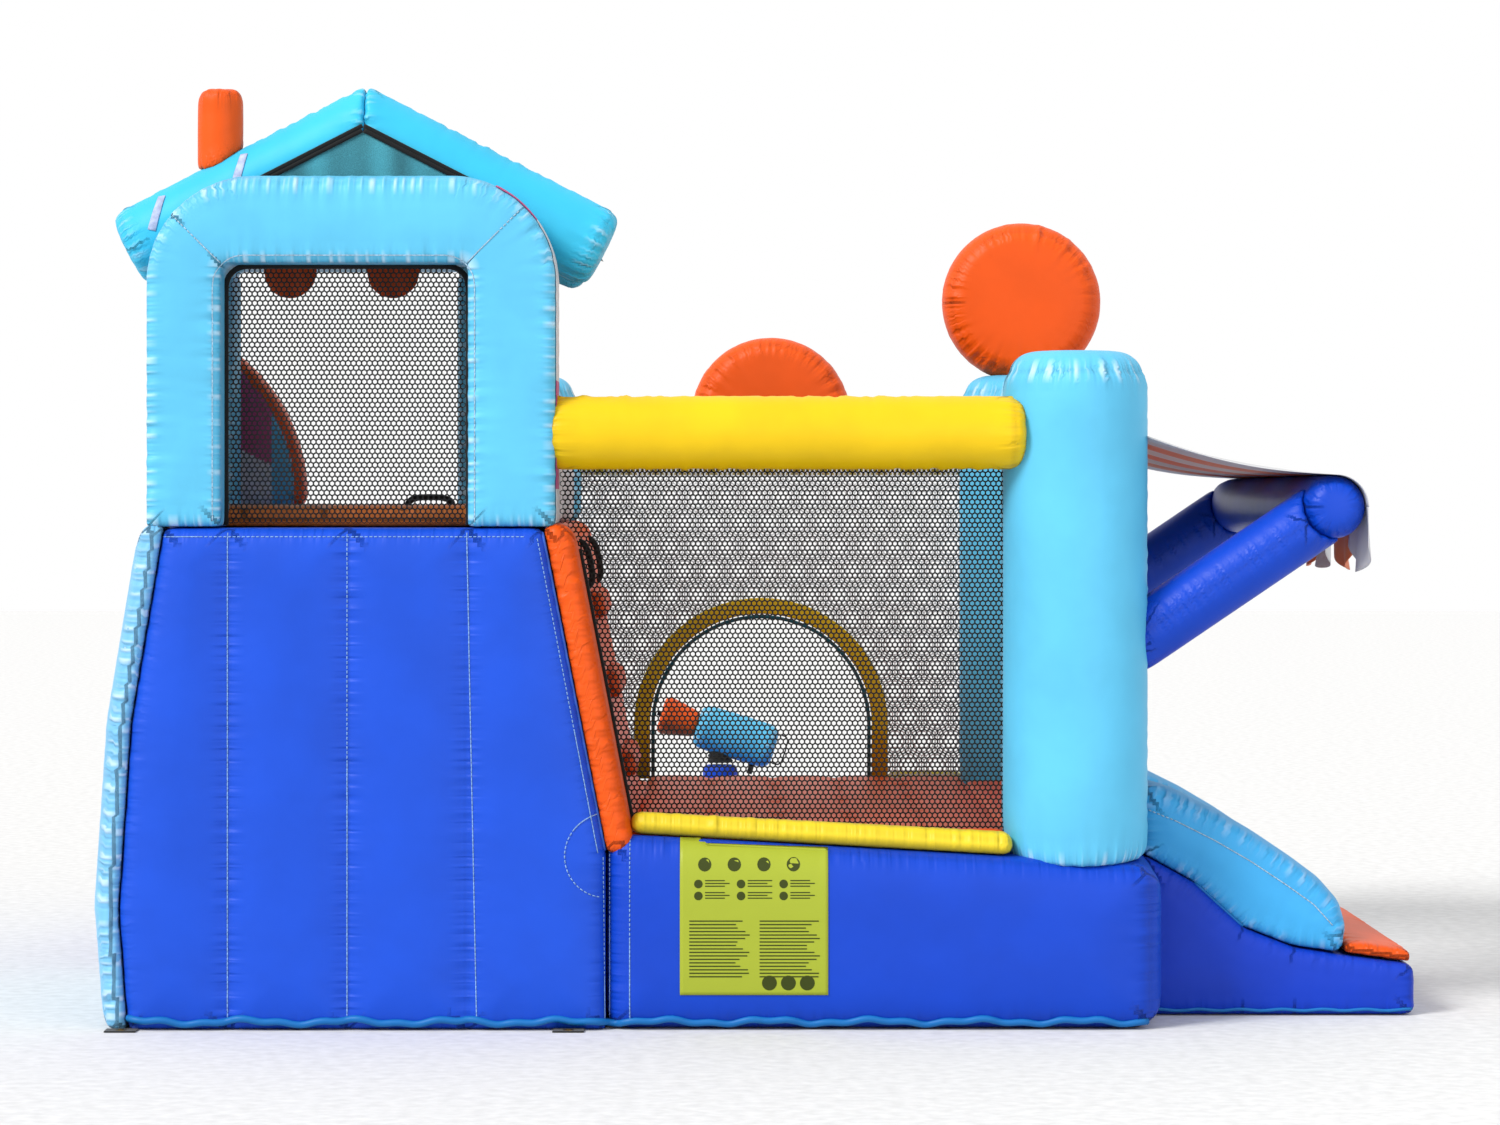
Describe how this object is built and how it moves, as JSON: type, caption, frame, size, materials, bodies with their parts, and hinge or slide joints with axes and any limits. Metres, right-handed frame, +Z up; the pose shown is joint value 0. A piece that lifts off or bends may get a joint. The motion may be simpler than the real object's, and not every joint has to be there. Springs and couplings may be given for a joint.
{
  "type": "inflatable bounce house",
  "caption": "Air-filled play house: netted bounce bed, roofed tower with climbing wall, long slide into a splash pool, exit slide under a striped awning, water cannon.",
  "frame": {"origin": "on the ground, in the middle of the outline", "axes": "+X from the tower to the exit slide, +Y from the quilted back wall to the pool, +Z up"},
  "size_m": [3.44, 4.1, 2.4295],
  "materials": {
    "royal_blue_fabric": "matte",
    "sky_blue_fabric": "matte",
    "orange_fabric": "matte",
    "yellow_fabric": "matte",
    "white_fabric": "matte",
    "striped_fabric": "matte",
    "inner_web_fabric": "matte",
    "black_netting": "matte",
    "white_netting": "matte",
    "teal_netting": "matte",
    "black_webbing": "matte",
    "teal_webbing": "matte",
    "white_webbing": "matte",
    "label_cloth": "satin",
    "eyelet_brass": "satin",
    "zip_plastic": "matte",
    "hose_plastic": "satin"
  },
  "bodies": {
    "house": {"tower_base": "royal_blue_fabric", "tower_left_wall": "sky_blue_fabric", "climb_wall": "orange_fabric", "left_rail": "sky_blue_fabric", "chimney": "orange_fabric", "back_right_post": "sky_blue_fabric", "back_beam": "yellow_fabric", "front_beam": "yellow_fabric", "awning_cross_tube": "royal_blue_fabric", "cannon_pedestal": "royal_blue_fabric", "front_posts": "sky_blue_fabric", "tower_baffles": "inner_web_fabric", "climb_steps": "orange_fabric", "grab_handles": "black_webbing", "tower_platform": "orange_fabric", "window_frame": "sky_blue_fabric", "slide_frame": "sky_blue_fabric", "printed_gusset": "white_fabric", "window_mesh": "black_netting", "scallop_valance": "orange_fabric", "facade_frame": "white_fabric", "side_nets": "black_netting", "roof_gables": "sky_blue_fabric", "roof_nets": "teal_netting", "net_bindings": "black_webbing", "roof_straps": "white_webbing", "bed_chamber": "royal_blue_fabric", "bed_baffles": "inner_web_fabric", "bounce_floor": "orange_fabric", "floor_trims": "yellow_fabric", "side_beams": "yellow_fabric", "back_net": "black_netting", "front_net": "white_netting", "arch_band": "yellow_fabric", "arch_binding": "teal_webbing", "discs": "orange_fabric", "label_patch": "label_cloth", "awning_arms": "royal_blue_fabric", "awning_canopy": "striped_fabric", "awning_valance": "striped_fabric", "exit_slide_bed": "royal_blue_fabric", "exit_slide_surface": "orange_fabric", "exit_slide_bolsters": "sky_blue_fabric", "slide_bed": "royal_blue_fabric", "slide_surface": "orange_fabric", "slide_bolsters": "sky_blue_fabric", "slide_wings": "white_fabric", "pool_walls": "royal_blue_fabric", "pool_floor": "sky_blue_fabric", "inflation_sleeve": "royal_blue_fabric", "sleeve_strap": "black_webbing", "zip_tape": "zip_plastic", "anchor_tabs": "black_webbing", "anchor_eyelets": "eyelet_brass"},
    "cannon_swivel": {"cannon_neck": "black_webbing"},
    "cannon_gun": {"cannon_barrel": "sky_blue_fabric", "cannon_nozzle": "orange_fabric", "cannon_handle": "black_webbing", "cannon_water_tube": "hose_plastic"},
    "zip_pull": {"zip_slider": "zip_plastic"}
  },
  "joints": [
    {"name": "cannon_yaw", "type": "hinge", "parent": "house", "child": "cannon_swivel", "pos_m": [-0.099, 1.87, 0.434], "axis": [0, 0, 1], "range_deg": [-60, 60]},
    {"name": "cannon_pitch", "type": "hinge", "parent": "cannon_swivel", "child": "cannon_gun", "pos_m": [-0.099, 1.87, 0.452], "axis": [0, 1, 0], "range_deg": [-17, 12]},
    {"name": "zip_travel", "type": "slide", "parent": "house", "child": "zip_pull", "axis": [0, -1, 0], "range_m": [0, 0.27]}
  ]
}
